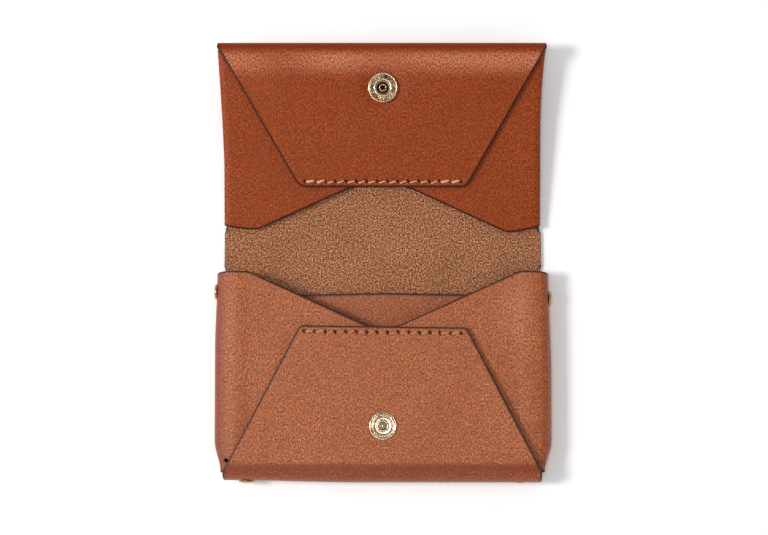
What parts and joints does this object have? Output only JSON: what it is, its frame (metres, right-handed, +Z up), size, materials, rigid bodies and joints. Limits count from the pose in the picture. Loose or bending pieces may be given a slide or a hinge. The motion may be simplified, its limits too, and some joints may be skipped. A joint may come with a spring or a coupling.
{
  "type": "card holder wallet",
  "caption": "Envelope-folded leather card holder lying open: a deep lower pocket, a suede spine and a flat upper pocket that close with a press stud.",
  "frame": {"origin": "middle of the box of the open card holder, on the table that it lies on", "axes": "+X to the right across the spine, +Y from the lower pocket towards the upper pocket, +Z up from the table, out of the pockets' fronts"},
  "size_m": [0.1112, 0.1448, 0.0124],
  "materials": {
    "upper_hide": "smooth waxed vegetable-tanned grain, dark burnished edges",
    "lower_hide": "smooth waxed vegetable-tanned grain with a soft sheen",
    "suede": "napped flesh side with light and dark fibres",
    "thread": "waxed twisted linen thread",
    "brass": "polished brass plate",
    "spring_steel": "drawn spring wire"
  },
  "bodies": {
    "lower_pocket": {"lower_pocket_leather": "lower_hide", "divider": "lower_hide", "lower_thread": "thread", "snap_stud": "brass", "stud_eyelet": "brass", "left_rivet_cap": "brass", "left_rivet_post": "brass", "right_rivet_cap": "brass", "right_rivet_post": "brass", "bottom_left_rivet_cap": "brass", "bottom_left_rivet_post": "brass", "bottom_right_rivet_cap": "brass", "bottom_right_rivet_post": "brass"},
    "spine": {"spine_leather": "suede"},
    "upper_pocket": {"upper_pocket_leather": "upper_hide", "upper_thread": "thread", "socket_cap": "brass", "snap_socket": "brass", "socket_spring": "spring_steel"}
  },
  "joints": [
    {"name": "spine_fold", "type": "hinge", "parent": "lower_pocket", "child": "spine", "pos_m": [0, -0.00274, 0.0012], "axis": [1, 0, 0], "range_deg": [0, 90]},
    {"name": "flap_fold", "type": "hinge", "parent": "spine", "child": "upper_pocket", "pos_m": [0, 0.00986, 0.004], "axis": [1, 0, 0], "range_deg": [-6, 84]}
  ]
}
